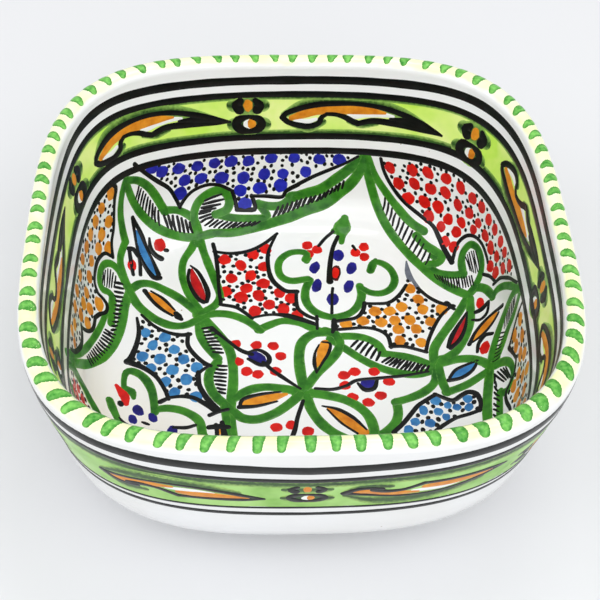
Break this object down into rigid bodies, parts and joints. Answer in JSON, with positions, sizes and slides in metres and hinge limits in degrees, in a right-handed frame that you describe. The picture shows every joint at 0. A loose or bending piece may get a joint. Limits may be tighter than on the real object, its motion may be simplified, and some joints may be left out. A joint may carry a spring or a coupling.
{
  "type": "deep square serving bowl",
  "caption": "Deep glazed ceramic serving bowl with a rounded-square mouth, round belly and foot ring; holds food or fruit on a table.",
  "frame": {"origin": "on the table plane under the middle of the foot ring", "axes": "+Z is the centre line, up out of the mouth; the four sides face +X, -X, +Y and -Y"},
  "size_m": [0.212, 0.212, 0.094],
  "materials": {
    "fired_clay": "matte",
    "bare_foot_clay": "matte",
    "white_inside_glaze": "gloss",
    "pale_yellow_rim_glaze": "gloss",
    "white_outside_glaze": "gloss",
    "white_base_glaze": "gloss"
  },
  "bodies": {
    "root": {"wall": "fired_clay", "belly": "fired_clay", "floor": "fired_clay", "foot_ring": "bare_foot_clay", "inside_glaze": "white_inside_glaze", "rim_glaze": "pale_yellow_rim_glaze", "outside_glaze": "white_outside_glaze", "base_glaze": "white_base_glaze"}
  },
  "joints": []
}
